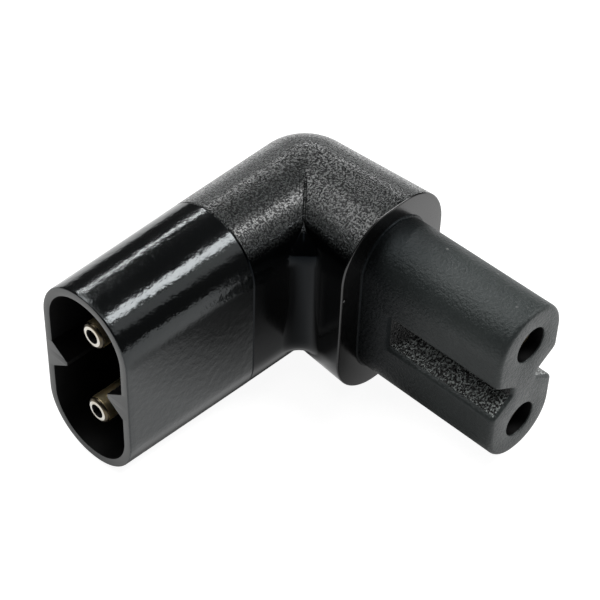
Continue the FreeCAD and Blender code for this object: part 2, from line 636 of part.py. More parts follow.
def contact_socket(name, height):
    part = new_body("contact_socket_" + name, height)
    profile = on_inlet_arm(part, "0", "profile")
    mouth = "-(dims.connector_reach - dims.contact_recess)"
    bore_end = mouth + " + dims.contact_bore_depth"
    bore = "(dims.pin_diameter / 2 + dims.contact_grip)"
    sleeve = bore + " + dims.contact_wall"
    back = "-" + INSERT_BACK
    ring = back + " - dims.contact_bead_length"
    straight_outline(profile, [
        (mouth, bore),
        (mouth, sleeve),
        (ring, sleeve),
        (ring, "dims.contact_bead_diameter / 2"),
        (back, "dims.contact_bead_diameter / 2"),
        (back, "dims.contact_tail_diameter / 2"),
        ("-(" + STRAP_FACE + " + dims.seat_gap)", "dims.contact_tail_diameter / 2"),
        ("-(" + STRAP_FACE + " + dims.seat_gap)", "0"),
        (bore_end, "0"),
        (bore_end, bore),
    ])
    turned(part, profile, "H_Axis")
    eased(part, "Chamfer", round_edges(mouth, bore), "dims.contact_lead_in", "lead_in")
    slots = on_nose_arm(part, "(dims.connector_reach - dims.contact_recess)", "slots")
    straight_outline(slots, [
        ("-dims.contact_slot / 2", "dims.pin_diameter"),
        ("dims.contact_slot / 2", "dims.pin_diameter"),
        ("dims.contact_slot / 2", "-dims.pin_diameter"),
        ("-dims.contact_slot / 2", "-dims.pin_diameter"),
    ])
    pushed(part, "Pocket", slots, "dims.contact_slot_length")
    return part


# The straps: brass bars bent square inside the corner, one for each pair of pin
# and contact, welded across their back ends.

def link_strap(name, height):
    part = new_body("link_strap_" + name, height)
    bar = new_sketch(part, "XY_Plane", "-dims.strap_width / 2", "outline")
    strap_outline(bar, "0")
    pushed(part, "Pad", bar, "dims.strap_width")
    strap_bend(part, "0", "")
    return part


made = [inlet_housing(), connector_insert(), elbow_overmould()]
for make in (inlet_pin, contact_socket, link_strap):
    for name, height in LEVELS:
        made.append(make(name, height))

doc.recompute()
for item in doc.Objects:
    if "Invalid" in item.State or "Error" in item.State:
        raise RuntimeError("%s failed: %s" % (item.Name, item.getStatusString()))
for part in made:
    if part.Shape.isNull() or not part.Shape.isValid() or len(part.Shape.Solids) != 1:
        raise RuntimeError("%s is not one sound solid" % part.Label)

os.makedirs("parts", exist_ok=True)
for part in made:
    part.Shape.exportStep("parts/" + part.Label + ".step")
    print("%-24s %9.2f mm3 %4d faces" % (part.Label, part.Shape.Volume, len(part.Shape.Faces)))
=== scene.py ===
import math

import bmesh
import bpy
import numpy as np
from mathutils import Matrix, Vector


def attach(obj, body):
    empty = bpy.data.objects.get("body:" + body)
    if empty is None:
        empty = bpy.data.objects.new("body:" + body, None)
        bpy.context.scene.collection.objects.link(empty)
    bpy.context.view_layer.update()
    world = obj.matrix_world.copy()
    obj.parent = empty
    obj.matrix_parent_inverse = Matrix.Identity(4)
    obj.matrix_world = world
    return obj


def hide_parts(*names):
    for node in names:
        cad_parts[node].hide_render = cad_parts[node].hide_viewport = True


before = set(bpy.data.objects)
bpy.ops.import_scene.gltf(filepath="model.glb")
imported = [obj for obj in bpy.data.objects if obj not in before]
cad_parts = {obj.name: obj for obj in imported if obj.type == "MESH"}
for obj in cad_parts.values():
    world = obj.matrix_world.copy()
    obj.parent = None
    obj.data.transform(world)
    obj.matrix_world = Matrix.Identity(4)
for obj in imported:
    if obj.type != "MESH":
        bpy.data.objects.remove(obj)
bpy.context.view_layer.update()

# The inlet's housing: a hard glossy shroud of figure-eight section, moulded round
# the back of the pins. Two V keys run along its cavity, and a fine bevel edges it
# at the seam with the elbow.

MM = 0.001
# the crossing of the two arms' centre lines, and how far from it each thing lies
CROSSING = np.array([9.35, 9.625, 9.55])
RIM_REACH, SEAM_REACH, FLOOR_REACH = 24.8, 11.2, 12.4
COLLAR_REACH, NOSE_REACH = 10.1, 24.75
# half width, half height and corner radius of each section
RIM, SEAM, CAVITY = (4.95, 9.1, 4.85), (5.15, 9.5, 5.05), (4.15, 8.3, 4.05)
# the V keys: reach of the crest, and half heights of the foot and of the crest
KEY_CREST, KEY_HALF, KEY_CREST_HALF = 2.4, 1.44, 0.22
# how far in the first ring of an end face lies, and the sizes of the small edges
FACE_INSET, SEAM_BEVEL, RIM_ROUND, MOUTH_ROUND = 1.3, 0.1, 0.14, 0.08


def ring_plan(side_stops, arc_steps=24, crown_steps=3):
    """How a closed section is walked, from the middle of its right side.

    Returns the heading of the normal and the place of the arc's centre as shares
    of the flat half width and half height, one value per point: along the right
    side, round the upper right arc, over the crown, and so on round.
    """
    quarter = np.linspace(0.0, math.pi / 2, arc_steps + 1)
    crown = np.linspace(1.0, -1.0, 2 * crown_steps + 1)[1:-1]
    stops = np.asarray(side_stops)
    parts = []
    for heading, x, z in (
            (np.zeros(stops.size), np.ones(stops.size), stops),
            (quarter, 1.0, 1.0),
            (np.full(crown.size, math.pi / 2), crown, np.ones(crown.size)),
            (quarter + math.pi / 2, -1.0, 1.0),
            (np.full(stops.size, math.pi), -np.ones(stops.size), stops[::-1]),
            (quarter + math.pi, -1.0, -1.0),
            (np.full(crown.size, 1.5 * math.pi), crown[::-1], -np.ones(crown.size)),
            (quarter + 1.5 * math.pi, 1.0, -1.0)):
        whole = np.ones_like(heading)
        parts.append(np.stack([heading, x * whole, z * whole]))
    return np.concatenate(parts, axis=1)


def section(plan, size, inset=0.0):
    """A rounded rectangle: arc centres at the flats' ends, plus radius times normal."""
    wide, high, radius = size
    heading, x, z = plan
    across = x * (wide - radius) + (radius - inset) * np.cos(heading)
    up = z * (high - radius) + (radius - inset) * np.sin(heading)
    return across, up


def on_inlet_arm(reach, across, up):
    """Points of a section square to the inlet's arm, at a reach from the crossing."""
    return np.stack([np.full_like(across, -reach), across, up], axis=-1)


def on_nose_arm(reach, across, up):
    """Points of a section square to the nose's arm, at a reach from the crossing."""
    return np.stack([across, np.full_like(across, -reach), up], axis=-1)


def ring_quads(rows, columns, start=0):
    """Points' numbers, ring by ring, their next ones along, and the quads between."""
    index = start + np.arange(rows * columns).reshape(rows, columns)
    along = np.roll(index, -1, axis=1)
    quads = np.stack([index[:-1], along[:-1], along[1:], index[1:]], axis=-1)
    return index, along, quads.reshape(-1, 4).tolist()


def fan(first, second, middle):
    """Triangles from a ring to the point in its middle."""
    return np.stack([first, second, np.full_like(first, middle)], axis=-1).tolist()


def piece_of(name, points, faces, sharp):
    """An object of points in millimetres from the crossing.

    Points that coincide are merged, the faces turned outwards, and the surface
    shaded smooth where it bends by less than the sharp angle, in degrees.
    """
    mesh = bpy.data.meshes.new(name)
    mesh.from_pydata(((points + CROSSING) * MM).tolist(), [], faces)
    work = bmesh.new()
    work.from_mesh(mesh)
    bmesh.ops.remove_doubles(work, verts=work.verts, dist=2e-7)
    bmesh.ops.recalc_face_normals(work, faces=work.faces)
    work.to_mesh(mesh)
    work.free()
    mesh.shade_smooth()
    mesh.set_sharp_from_angle(angle=math.radians(sharp))
    piece = bpy.data.objects.new(name, mesh)
    bpy.context.scene.collection.objects.link(piece)
    return piece


def skin(name, rings, sharp):
    """A closed skin over rings of points.

    Each ring joins the next by quads, and fans to their middles close the first
    and the last.
    """
    grid = np.asarray(rings, dtype=float)
    rows, columns = grid.shape[:2]
    index, along, faces = ring_quads(rows, columns)
    middles = np.stack([grid[0].mean(axis=0), grid[-1].mean(axis=0)])
    points = np.concatenate([grid.reshape(-1, 3), middles])
    faces += fan(along[0], index[0], rows * columns)
    faces += fan(index[-1], along[-1], rows * columns + 1)
    return piece_of(name, points, faces, sharp)


def rounding(size, steps=4):
    """A quarter round of an edge, from the side to the end: how far each step lies
    back from the end, and how far in from the side.
    """
    turn = np.linspace(0.0, math.pi / 2, steps + 1)
    return list(zip(size * (1 - np.sin(turn)), size * (1 - np.cos(turn))))


def key_stops(half, crest_half, flat_half):
    """Stops up a side wall, close together at the corners of a key."""
    spread = 0.16 * (half - crest_half)
    inner = crest_half + spread * np.linspace(-1.0, 1.0, 7)
    outer = half + spread * np.linspace(-1.0, 1.0, 7)
    between = np.linspace(inner[-1], outer[0], 7)[1:-1]
    outside = np.linspace(outer[-1], flat_half, 7)[1:-1]
    upper = np.concatenate([inner, between, outer, outside])
    return np.concatenate([-upper[::-1], [0.0], upper]) / flat_half


def eased_ramp(height, half, crest_half, ease):
    """A rise from nought at half to one at crest_half, with both corners rounded.

    A corner is the square of the way into it, over a stretch of ease on each side.
    """
    way = (half - np.abs(height)) / (half - crest_half)
    corners = []
    for shift in (way, way - 1.0):
        bend = (shift + ease) ** 2 / (4 * ease)
        corners.append(np.where(shift < -ease, 0.0, np.where(shift > ease, shift, bend)))
    return corners[0] - corners[1]


def keyed(across, up, wall, crest, half, crest_half):
    """Walls pushed in to a V ridge: from the wall at half to the crest at crest_half."""
    limit = wall - (wall - crest) * eased_ramp(up, half, crest_half, 0.05)
    return np.where(np.abs(across) > limit, np.sign(across) * limit, across)


flat_half = RIM[1] - RIM[2]
shroud_plan = ring_plan(key_stops(KEY_HALF, KEY_CREST_HALF, flat_half))
rings = []
for inset in (FACE_INSET, SEAM_BEVEL):
    rings.append(on_inlet_arm(SEAM_REACH, *section(shroud_plan, SEAM, inset)))
# the taper's rings stop short of the rim's rounding
taper_length = RIM_REACH - SEAM_REACH - 0.4
for share in (0.0, 0.03, 0.25, 0.5, 0.75, 0.97):
    size = tuple(np.array(SEAM) + share * (np.array(RIM) - np.array(SEAM)))
    reach = SEAM_REACH + SEAM_BEVEL + share * taper_length
    rings.append(on_inlet_arm(reach, *section(shroud_plan, size)))
for back, inward in rounding(RIM_ROUND):
    rings.append(on_inlet_arm(RIM_REACH - back, *section(shroud_plan, RIM, inward)))
for back, inward in rounding(MOUTH_ROUND, 2):
    across, up = section(shroud_plan, CAVITY, -back)
    across = keyed(across, up, CAVITY[0] + back, KEY_CREST + back, KEY_HALF, KEY_CREST_HALF)
    rings.append(on_inlet_arm(RIM_REACH - inward, across, up))
for reach in (20.0, 16.0, FLOOR_REACH):
    across, up = section(shroud_plan, CAVITY)
    across = keyed(across, up, CAVITY[0], KEY_CREST, KEY_HALF, KEY_CREST_HALF)
    rings.append(on_inlet_arm(reach, across, up))
shroud = skin("inlet_shroud_skin", rings, sharp=32.0)


def material_for(name):
    """A new material, its tree of nodes and its Principled shader."""
    made = bpy.data.materials.new(name)
    made.use_nodes = True
    tree = made.node_tree
    return made, tree, tree.nodes["Principled BSDF"]


def effect_group(name, inputs, outputs):
    """An empty group of shader nodes for one effect, with its sockets."""
    group = bpy.data.node_groups.new(name, "ShaderNodeTree")
    for label, kind, value in inputs:
        socket = group.interface.new_socket(name=label, in_out="INPUT", socket_type=kind)
        if value is not None:
            socket.default_value = value
    for label, kind in outputs:
        group.interface.new_socket(name=label, in_out="OUTPUT", socket_type=kind)
    return group, group.nodes.new("NodeGroupInput"), group.nodes.new("NodeGroupOutput")


def object_place(tree):
    """The object's own coordinates, in metres."""
    return tree.nodes.new("ShaderNodeTexCoord").outputs["Object"]


def noise_at(tree, coordinates, scale, detail=2.0, rough=0.5):
    """A noise of its own scale, in cells per metre, on the given coordinates."""
    node = tree.nodes.new("ShaderNodeTexNoise")
    node.inputs["Scale"].default_value = scale
    node.inputs["Detail"].default_value = detail
    node.inputs["Roughness"].default_value = rough
    tree.links.new(coordinates, node.inputs["Vector"])
    return node.outputs["Fac"]


def mapped(tree, value, low, high, to_low, to_high):
    """The value's run from low to high, spread from to_low to to_high and clamped."""
    node = tree.nodes.new("ShaderNodeMapRange")
    for label, number in (("From Min", low), ("From Max", high),
                          ("To Min", to_low), ("To Max", to_high)):
        node.inputs[label].default_value = number
    tree.links.new(value, node.inputs["Value"])
    return node.outputs["Result"]


def joined(tree, kind, first, second):
    """Two values joined by a kind of sum, such as ADD, MULTIPLY or MAXIMUM."""
    node = tree.nodes.new("ShaderNodeMath")
    node.operation = kind
    for socket, value in zip(node.inputs, (first, second)):
        if isinstance(value, (int, float)):
            socket.default_value = value
        else:
            tree.links.new(value, socket)
    return node.outputs["Value"]


def axes_of(tree, vector):
    """A vector's three parts, as a node with outputs X, Y and Z."""
    node = tree.nodes.new("ShaderNodeSeparateXYZ")
    tree.links.new(vector, node.inputs["Vector"])
    return node


def steepness(tree):
    """How far a surface faces up or down: nought on a wall, one on a level."""
    normal = tree.nodes.new("ShaderNodeNewGeometry").outputs["Normal"]
    return joined(tree, "ABSOLUTE", axes_of(tree, normal).outputs["Z"], 0.0)


def distance_to(tree, coordinates, point):
    """The distance of the coordinates from a point, in metres."""
    node = tree.nodes.new("ShaderNodeVectorMath")
    node.operation = "DISTANCE"
    node.inputs[1].default_value = point
    tree.links.new(coordinates, node.inputs[0])
    return node.outputs["Value"]


def bumped(tree, height, strength, distance, under=None):
    """A normal from a height, in metres of relief, over another normal if given."""
    node = tree.nodes.new("ShaderNodeBump")
    node.inputs["Strength"].default_value = strength
    node.inputs["Distance"].default_value = distance
    tree.links.new(height, node.inputs["Height"])
    if under is not None:
        tree.links.new(under, node.inputs["Normal"])
    return node.outputs["Normal"]


def blended(tree, factor, first, second):
    """Two colours mixed by a factor."""
    node = tree.nodes.new("ShaderNodeMix")
    node.data_type = "RGBA"
    tree.links.new(factor, node.inputs["Factor"])
    for socket, value in ((node.inputs["A"], first), (node.inputs["B"], second)):
        if isinstance(value, tuple):
            socket.default_value = value + (1.0,)
        else:
            tree.links.new(value, socket)
    return node.outputs["Result"]


# Dust specks: the middles of a pattern's cells, most of them dropped at random.
dust, dust_in, dust_out = effect_group(
    "fine_dust", [("Vector", "NodeSocketVector", None), ("Density", "NodeSocketFloat", 0.5)],
    [("Mask", "NodeSocketFloat")])
cells = dust.nodes.new("ShaderNodeTexVoronoi")
cells.inputs["Scale"].default_value = 900.0
dust.links.new(dust_in.outputs["Vector"], cells.inputs["Vector"])
near = mapped(dust, cells.outputs["Distance"], 0.05, 0.16, 1.0, 0.0)
chosen = dust.nodes.new("ShaderNodeTexWhiteNoise")
dust.links.new(cells.outputs["Position"], chosen.inputs["Vector"])
kept = joined(dust, "GREATER_THAN", chosen.outputs["Value"],
              joined(dust, "SUBTRACT", 1.0, dust_in.outputs["Density"]))
dust.links.new(joined(dust, "MULTIPLY", near, kept), dust_out.inputs["Mask"])


def dust_mask(tree, coordinates, density):
    """The dust group's mask, with a share of its cells kept."""
    node = tree.nodes.new("ShaderNodeGroup")
    node.node_tree = dust
    node.inputs["Density"].default_value = density
    tree.links.new(coordinates, node.inputs["Vector"])
    return node.outputs["Mask"]


gloss, tree, shader = material_for("gloss_black_shell")
place = object_place(tree)
shader.inputs["Base Color"].default_value = (0.003, 0.0034, 0.0036, 1.0)
cloud = noise_at(tree, place, 140.0, 3.0)
peel = noise_at(tree, place, 1500.0, 3.0, 0.6)
tree.links.new(mapped(tree, cloud, 0.3, 0.7, 0.1, 0.17), shader.inputs["Roughness"])
ripple = bumped(tree, cloud, 0.2, 0.00014)
tree.links.new(bumped(tree, peel, 0.55, 0.00006, ripple), shader.inputs["Normal"])
shader.inputs["Specular Tint"].default_value = (0.92, 0.98, 1.0, 1.0)

satin, tree, shader = material_for("satin_rim_face")
place = object_place(tree)
shader.inputs["Base Color"].default_value = (0.06, 0.064, 0.062, 1.0)
shader.inputs["Roughness"].default_value = 0.38
tree.links.new(bumped(tree, noise_at(tree, place, 2500.0), 0.2, 0.00003), shader.inputs["Normal"])

# painted shade: a darker and less glossy black for the walls of recesses, the housing's cavity,
# the nose's holes and the pins' bores, where little light reaches
painted_shade_recess, tree, shader = material_for("painted_shade_recess_wall")
place = object_place(tree)
shader.inputs["Base Color"].default_value = (0.0008, 0.0008, 0.0009, 1.0)
shader.inputs["Roughness"].default_value = 0.55
shader.inputs["Specular IOR Level"].default_value = 0.12
tree.links.new(bumped(tree, noise_at(tree, place, 700.0), 0.15, 0.00004), shader.inputs["Normal"])


def dress(piece, materials, choose):
    """Give a piece its materials; choose tells each face's from its middle and normal."""
    for made in materials:
        piece.data.materials.append(made)
    count = len(piece.data.polygons)
    middles, normals = np.empty(count * 3), np.empty(count * 3)
    piece.data.polygons.foreach_get("center", middles)
    piece.data.polygons.foreach_get("normal", normals)
    slots = choose(middles.reshape(-1, 3) / MM - CROSSING, normals.reshape(-1, 3))
    piece.data.polygons.foreach_set("material_index", slots.astype(np.int32))


def shroud_slots(middle, normal):
    """Satin on the flat rim, painted shade inside the cavity, gloss elsewhere."""
    rim = (normal[:, 0] < -0.9) & (middle[:, 0] < -RIM_REACH + 0.3)
    above_flat = np.maximum(np.abs(middle[:, 2]) - flat_half, 0.0)
    radius = np.hypot(middle[:, 1], above_flat)
    inside = (radius < RIM[2] - 0.45) & (middle[:, 0] < -SEAM_REACH - 0.5)
    return np.where(rim, 1, np.where(inside, 2, 0))


dress(shroud, [gloss, satin, painted_shade_recess], shroud_slots)
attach(shroud, "root")
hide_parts("inlet_housing")

# The elbow: a soft moulding with a spark-eroded grain, whose two arms meet in
# a mitre eased by an inner fillet. Outside, the corner is turned. It ends in a
# smooth collar round the nose and in a fine bevel at the seam.

# half width, half height and corner radius at the crossing, collar and nose
CORNER, COLLAR, NOSE = (5.5, 9.38, 5.0), (6.1, 9.55, 5.1), (3.75, 7.8, 3.65)
# the round of the collar's edge, and the depth of the mouth that the nose stands in
COLLAR_ROUND, MOUTH_DEPTH = 0.15, 1.0
# the inner fillet, its axis's clearance, its shoulder's round and its largest radius
INNER_FILLET, INNER_CLEAR, INNER_SHOULDER, INNER_ROUND = 1.8, 0.1, 4.4, 2.3
# the height above which the crease is sharp, and the stretch over which it gets so
CREASE_FOOT, CREASE_FADE = 7.6, 2.4
# the heights between which the parting line runs, and its round and depth
PARTING_TOP, PARTING_FOOT, PARTING_ROUND, PARTING_DEPTH = 9.25, 6.2, 0.2, 0.16


def elbow_rows(plan, arm_steps=22, bend_steps=30):
    """The elbow between seam and collar, one row of points per step along it.

    Outer points run straight to the crossing, round it at their own distance,
    and on. Inner points run to the mitre of the two arms' walls, with a round of
    a radius that grows up the inner fillet's shoulder and is nought above the
    crease's foot, where the mitre is left sharp.
    """
    at_seam, seam_up = section(plan, SEAM)
    at_corner, corner_up = section(plan, CORNER)
    at_collar, collar_up = section(plan, COLLAR)
    ends = (SEAM_REACH - SEAM_BEVEL, COLLAR_REACH - COLLAR_ROUND)
    slope_in = (at_seam - at_corner) / ends[0]
    slope_out = (at_collar - at_corner) / ends[1]
    # the mitre, where the two walls of an inner point meet
    mitre_y = at_corner * (1 - slope_in) / (1 - slope_in * slope_out)
    mitre_x = at_corner - slope_out * mitre_y
    high = np.abs(corner_up)
    above = np.clip(high - (CORNER[1] - CORNER[2]), 0.0, INNER_SHOULDER)
    axis = CORNER[0] + INNER_FILLET + INNER_CLEAR
    shoulder = INNER_FILLET + INNER_SHOULDER - np.sqrt(INNER_SHOULDER ** 2 - above ** 2)
    eased = ((axis - np.abs(at_corner)) * math.sqrt(2) - shoulder) / (math.sqrt(2) - 1)
    fade = np.clip((CREASE_FOOT - high) / CREASE_FADE, 0.0, 1.0)
    radius = np.clip(eased, 0.0, INNER_ROUND) * fade * fade * (3 - 2 * fade)
    inner = at_corner < 0
    # the parting line in the mitre, a shallow valley that fades at the crown and foot
    valley = np.clip((PARTING_TOP - high) / 0.25, 0.0, 1.0)
    valley = valley * np.clip((high - PARTING_FOOT) / 1.4, 0.0, 1.0)
    radius = np.maximum(radius, PARTING_ROUND * valley)
    zero = np.zeros_like(at_corner)
    foot_in = np.stack([np.full_like(at_seam, -ends[0]), at_seam, seam_up], axis=-1)
    foot_out = np.stack([at_collar, np.full_like(at_collar, -ends[1]), collar_up], axis=-1)
    bend_in = np.stack([np.where(inner, mitre_x - radius, zero),
                        np.where(inner, mitre_y, at_corner), corner_up], axis=-1)
    bend_out = np.stack([np.where(inner, mitre_x, at_corner),
                         np.where(inner, mitre_y - radius, zero), corner_up], axis=-1)
    along_in = np.linspace(0.0, 1.0, arm_steps)[:-1, None, None]
    along_out = np.linspace(0.0, 1.0, arm_steps)[1:, None, None]
    turn = np.linspace(0.0, math.pi / 2, bend_steps)[:, None]
    outer_x, outer_y = at_corner * np.sin(turn), at_corner * np.cos(turn)
    inner_x = mitre_x - radius + radius * np.sin(turn)
    inner_y = mitre_y - radius + radius * np.cos(turn)
    sunk = np.where(inner, PARTING_DEPTH * valley * np.sin(2 * turn), 0.0)
    bend = np.stack([np.where(inner, inner_x, outer_x), np.where(inner, inner_y, outer_y),
                     corner_up - np.sign(corner_up) * sunk], axis=-1)
    return np.concatenate([foot_in + (bend_in - foot_in) * along_in, bend,
                           bend_out + (foot_out - bend_out) * along_out])


elbow_plan = ring_plan(np.linspace(-0.9, 0.9, 13), arc_steps=30, crown_steps=4)
rings = []
for inset in (FACE_INSET, SEAM_BEVEL):
    rings.append(on_inlet_arm(SEAM_REACH, *section(elbow_plan, SEAM, inset)))
rings += list(elbow_rows(elbow_plan))
for back, inward in rounding(COLLAR_ROUND, 7)[1:]:
    rings.append(on_nose_arm(COLLAR_REACH - back, *section(elbow_plan, COLLAR, inward)))
rings.append(on_nose_arm(COLLAR_REACH, *section(elbow_plan, NOSE, -0.05)))
rings.append(on_nose_arm(COLLAR_REACH - MOUTH_DEPTH, *section(elbow_plan, NOSE, -0.02)))
elbow = skin("elbow_skin", rings, sharp=15.0)

grained, tree, shader = material_for("spark_grained_black")
place = object_place(tree)
pits = tree.nodes.new("ShaderNodeTexVoronoi")
pits.feature = "SMOOTH_F1"
pits.inputs["Scale"].default_value = 5400.0
pits.inputs["Smoothness"].default_value = 0.3
tree.links.new(place, pits.inputs["Vector"])
fine = noise_at(tree, place, 6200.0, 2.0, 0.6)
grain = joined(tree, "ADD", joined(tree, "MULTIPLY", pits.outputs["Distance"], 0.6),
               joined(tree, "MULTIPLY", fine, 1.2))
# the hollow over the inner fillet is smooth, like the inner flanks; the outer
# flanks are grained like the top
hollow = distance_to(tree, place, (0.00345, 0.0041, 0.0157))
top = joined(tree, "MULTIPLY", mapped(tree, steepness(tree), 0.46, 0.8, 0.0, 1.0),
             mapped(tree, hollow, 0.0009, 0.0021, 0.0, 1.0))
axes = axes_of(tree, place)
outward = joined(tree, "MAXIMUM", axes.outputs["X"], axes.outputs["Y"])
top = joined(tree, "MAXIMUM", top, mapped(tree, outward, 0.0125, 0.0138, 0.0, 1.0))
slow = noise_at(tree, place, 260.0, 2.0)
relief = tree.nodes.new("ShaderNodeBump")
relief.inputs["Distance"].default_value = 0.0003
tree.links.new(grain, relief.inputs["Height"])
tree.links.new(joined(tree, "MULTIPLY", top, 0.9), relief.inputs["Strength"])
tree.links.new(bumped(tree, slow, 0.2, 0.0001, relief.outputs["Normal"]), shader.inputs["Normal"])
tree.links.new(mapped(tree, top, 0.0, 1.0, 0.15, 0.27), shader.inputs["Roughness"])
# the grain's peaks are grey, partly rubbed wear and partly painted light: the grey goes only on
# the top and the outer flanks, so the inner flanks stay dark as painted shade
peaks = mapped(tree, fine, 0.5, 0.6, 0.0, 1.0)
wear_and_painted_light = blended(tree, joined(tree, "MULTIPLY", peaks, top),
               (0.0008, 0.0009, 0.001), (0.05, 0.055, 0.052))
specks = dust_mask(tree, place, 0.012)
tree.links.new(blended(tree, specks, wear_and_painted_light, (0.45, 0.45, 0.44)), shader.inputs["Base Color"])
# painted shade: the specular tint dims the reflections wherever the grain mask is off, on the
# inner flanks and in the hollow over the fillet, where the arms shade the table they mirror
tree.links.new(blended(tree, top, (0.08, 0.1, 0.12), (0.94, 0.99, 1.0)),
               shader.inputs["Specular Tint"])
shader.inputs["Specular IOR Level"].default_value = 0.6
# an oily gloss on the grain's peaks, which leaves the pits between them dark
oily = mapped(tree, fine, 0.43, 0.6, 0.02, 1.0)
tree.links.new(joined(tree, "MULTIPLY", top, oily), shader.inputs["Coat Weight"])
shader.inputs["Coat Roughness"].default_value = 0.28

smooth, tree, shader = material_for("smooth_collar_face")
place = object_place(tree)
shader.inputs["Roughness"].default_value = 0.2
specks = dust_mask(tree, place, 0.03)
tree.links.new(blended(tree, specks, (0.003, 0.003, 0.0032), (0.35, 0.35, 0.35)),
               shader.inputs["Base Color"])
tree.links.new(bumped(tree, noise_at(tree, place, 500.0), 0.15, 0.00005), shader.inputs["Normal"])
shader.inputs["Specular IOR Level"].default_value = 0.7


def elbow_slots(middle, normal):
    """Smooth on the collar's flat face and its rounded edge, grained elsewhere."""
    return (middle[:, 1] < -COLLAR_REACH + 0.12).astype(int)


dress(elbow, [grained, smooth], elbow_slots)
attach(elbow, "root")
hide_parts("elbow_overmould")

# The nose: a matte fine-grained insert of figure-eight section with a V groove on
# each side, which runs out short of the collar, and two holes in its end for the
# contacts.

# the grooves: reach of the floor, half heights of the mouth and the floor, and
# where along the nose they start and are full
GROOVE_FLOOR, GROOVE_HALF, GROOVE_FLOOR_HALF = 1.55, 1.83, 0.45
GROOVE_BLIND, GROOVE_FULL = 12.9, 14.9
# the bead round the nose's base, and the round of its end's edge
BASE_BEAD, END_ROUND = 0.18, 0.4
# the height of the pins' and contacts' axes, and the size of the holes
PIN_HEIGHT, ENTRY_RADIUS, ENTRY_DEPTH = 4.3, 1.625, 9.0


def nose_section(plan, inset, depth):
    """The nose's outline with its grooves cut in as far as depth allows."""
    across, up = section(plan, NOSE, inset)
    share = eased_ramp(up, GROOVE_HALF, GROOVE_FLOOR_HALF, 0.14)
    cut = np.minimum((NOSE[0] - GROOVE_FLOOR) * share, depth)
    limit = NOSE[0] - inset - cut
    return np.where(np.abs(across) > limit, np.sign(across) * limit, across), up


nose_flat = NOSE[1] - NOSE[2]
nose_plan = ring_plan(key_stops(GROOVE_HALF, GROOVE_FLOOR_HALF, nose_flat), 24, 2)
full = NOSE[0] - GROOVE_FLOOR
rings = []
for reach in (COLLAR_REACH - 1.2, COLLAR_REACH - 0.01):
    rings.append(on_nose_arm(reach, *nose_section(nose_plan, 0.02, 0.0)))
for back, inward in rounding(BASE_BEAD)[::-1]:
    reach = COLLAR_REACH + BASE_BEAD - inward
    rings.append(on_nose_arm(reach, *nose_section(nose_plan, back - BASE_BEAD, 0.0)))
rings.append(on_nose_arm(11.5, *nose_section(nose_plan, 0.0, 0.0)))
for share in np.linspace(0.0, 1.0, 15):
    reach = GROOVE_BLIND + share * (GROOVE_FULL - GROOVE_BLIND)
    depth = full * share ** 2 * (3 - 2 * share)
    rings.append(on_nose_arm(reach, *nose_section(nose_plan, 0.0, depth)))
for reach in (17.0, 20.0, 23.0):
    rings.append(on_nose_arm(reach, *nose_section(nose_plan, 0.0, full)))
for back, inward in rounding(END_ROUND, 5):
    rings.append(on_nose_arm(NOSE_REACH - back, *nose_section(nose_plan, inward, full)))


def end_with_holes(outline):
    """The nose's flat end and its two holes, as rows of a loop round each hole.

    A loop is one half of the outline closed along the middle line. Each of its
    points is drawn straight toward the hole's middle, to the hole's edge, over
    its small bevel and down its wall.
    """
    upper = outline[:, 2] > 1e-6
    level = np.abs(outline[:, 2]) <= 1e-6
    right = outline[level & (outline[:, 0] > 0)][:1]
    left = outline[level & (outline[:, 0] < 0)][:1]
    bridge = left + (right - left) * np.linspace(0.0, 1.0, 13)[:-1, None]
    loops = []
    for side, middle_up in ((upper, PIN_HEIGHT), (outline[:, 2] < -1e-6, -PIN_HEIGHT)):
        middle = np.array([0.0, -NOSE_REACH, middle_up])
        edge = np.concatenate([outline[side], bridge, right])
        heading = np.arctan2(edge[:, 2] - middle_up, edge[:, 0])
        edge, heading = edge[np.argsort(heading)], np.sort(heading)
        spoke = np.stack([np.cos(heading), np.zeros_like(heading), np.sin(heading)], axis=-1)
        rows = [edge]
        for wider, depth in ((0.14, 0.0), (0.04, 0.04), (0.0, 0.14), (0.0, 3.0),
                             (0.0, ENTRY_DEPTH)):
            rows.append(middle + (ENTRY_RADIUS + wider) * spoke + [0.0, depth, 0.0])
        loops.append(np.stack(rows))
    return loops


def joined_skin(name, grids, sharp):
    """One skin from grids of rings that meet, in which a fan closes one end of each.

    It is the first ring of the first grid, and the last ring of the others.
    """
    points, faces, start = [], [], 0
    for number, grid in enumerate(grids):
        rows, columns = grid.shape[:2]
        index, along, quads = ring_quads(rows, columns, start)
        end = 0 if number == 0 else -1
        middle = start + rows * columns
        points += [grid.reshape(-1, 3), grid[end].mean(axis=0)[None]]
        faces += quads + fan(index[end], along[end], middle)
        start = middle + 1
    return piece_of(name, np.concatenate(points), faces, sharp)


nose = joined_skin("nose_skin", [np.stack(rings)] + end_with_holes(rings[-1]), sharp=32.0)

matte, tree, shader = material_for("fine_matte_grey_black")
place = object_place(tree)
fine = noise_at(tree, place, 4200.0, 3.0, 0.6)
slow = noise_at(tree, place, 180.0, 2.0)
tone = blended(tree, mapped(tree, slow, 0.3, 0.7, 0.0, 1.0),
               (0.027, 0.032, 0.032), (0.036, 0.042, 0.041))
# painted shade: the colour is darker beside the collar, where the elbow shades the nose, and the
# dark zone reaches further out on the flanks than on top
axes = axes_of(tree, place)
flank = mapped(tree, steepness(tree), 0.1, 0.5, 0.0025, 0.0)
out = mapped(tree, joined(tree, "ADD", axes.outputs["Y"], flank), -0.0005, -0.0075, 0.0, 1.0)
tone = blended(tree, out, (0.005, 0.006, 0.0065), tone)
specks = dust_mask(tree, place, 0.02)
tree.links.new(blended(tree, specks, tone, (0.3, 0.3, 0.29)), shader.inputs["Base Color"])
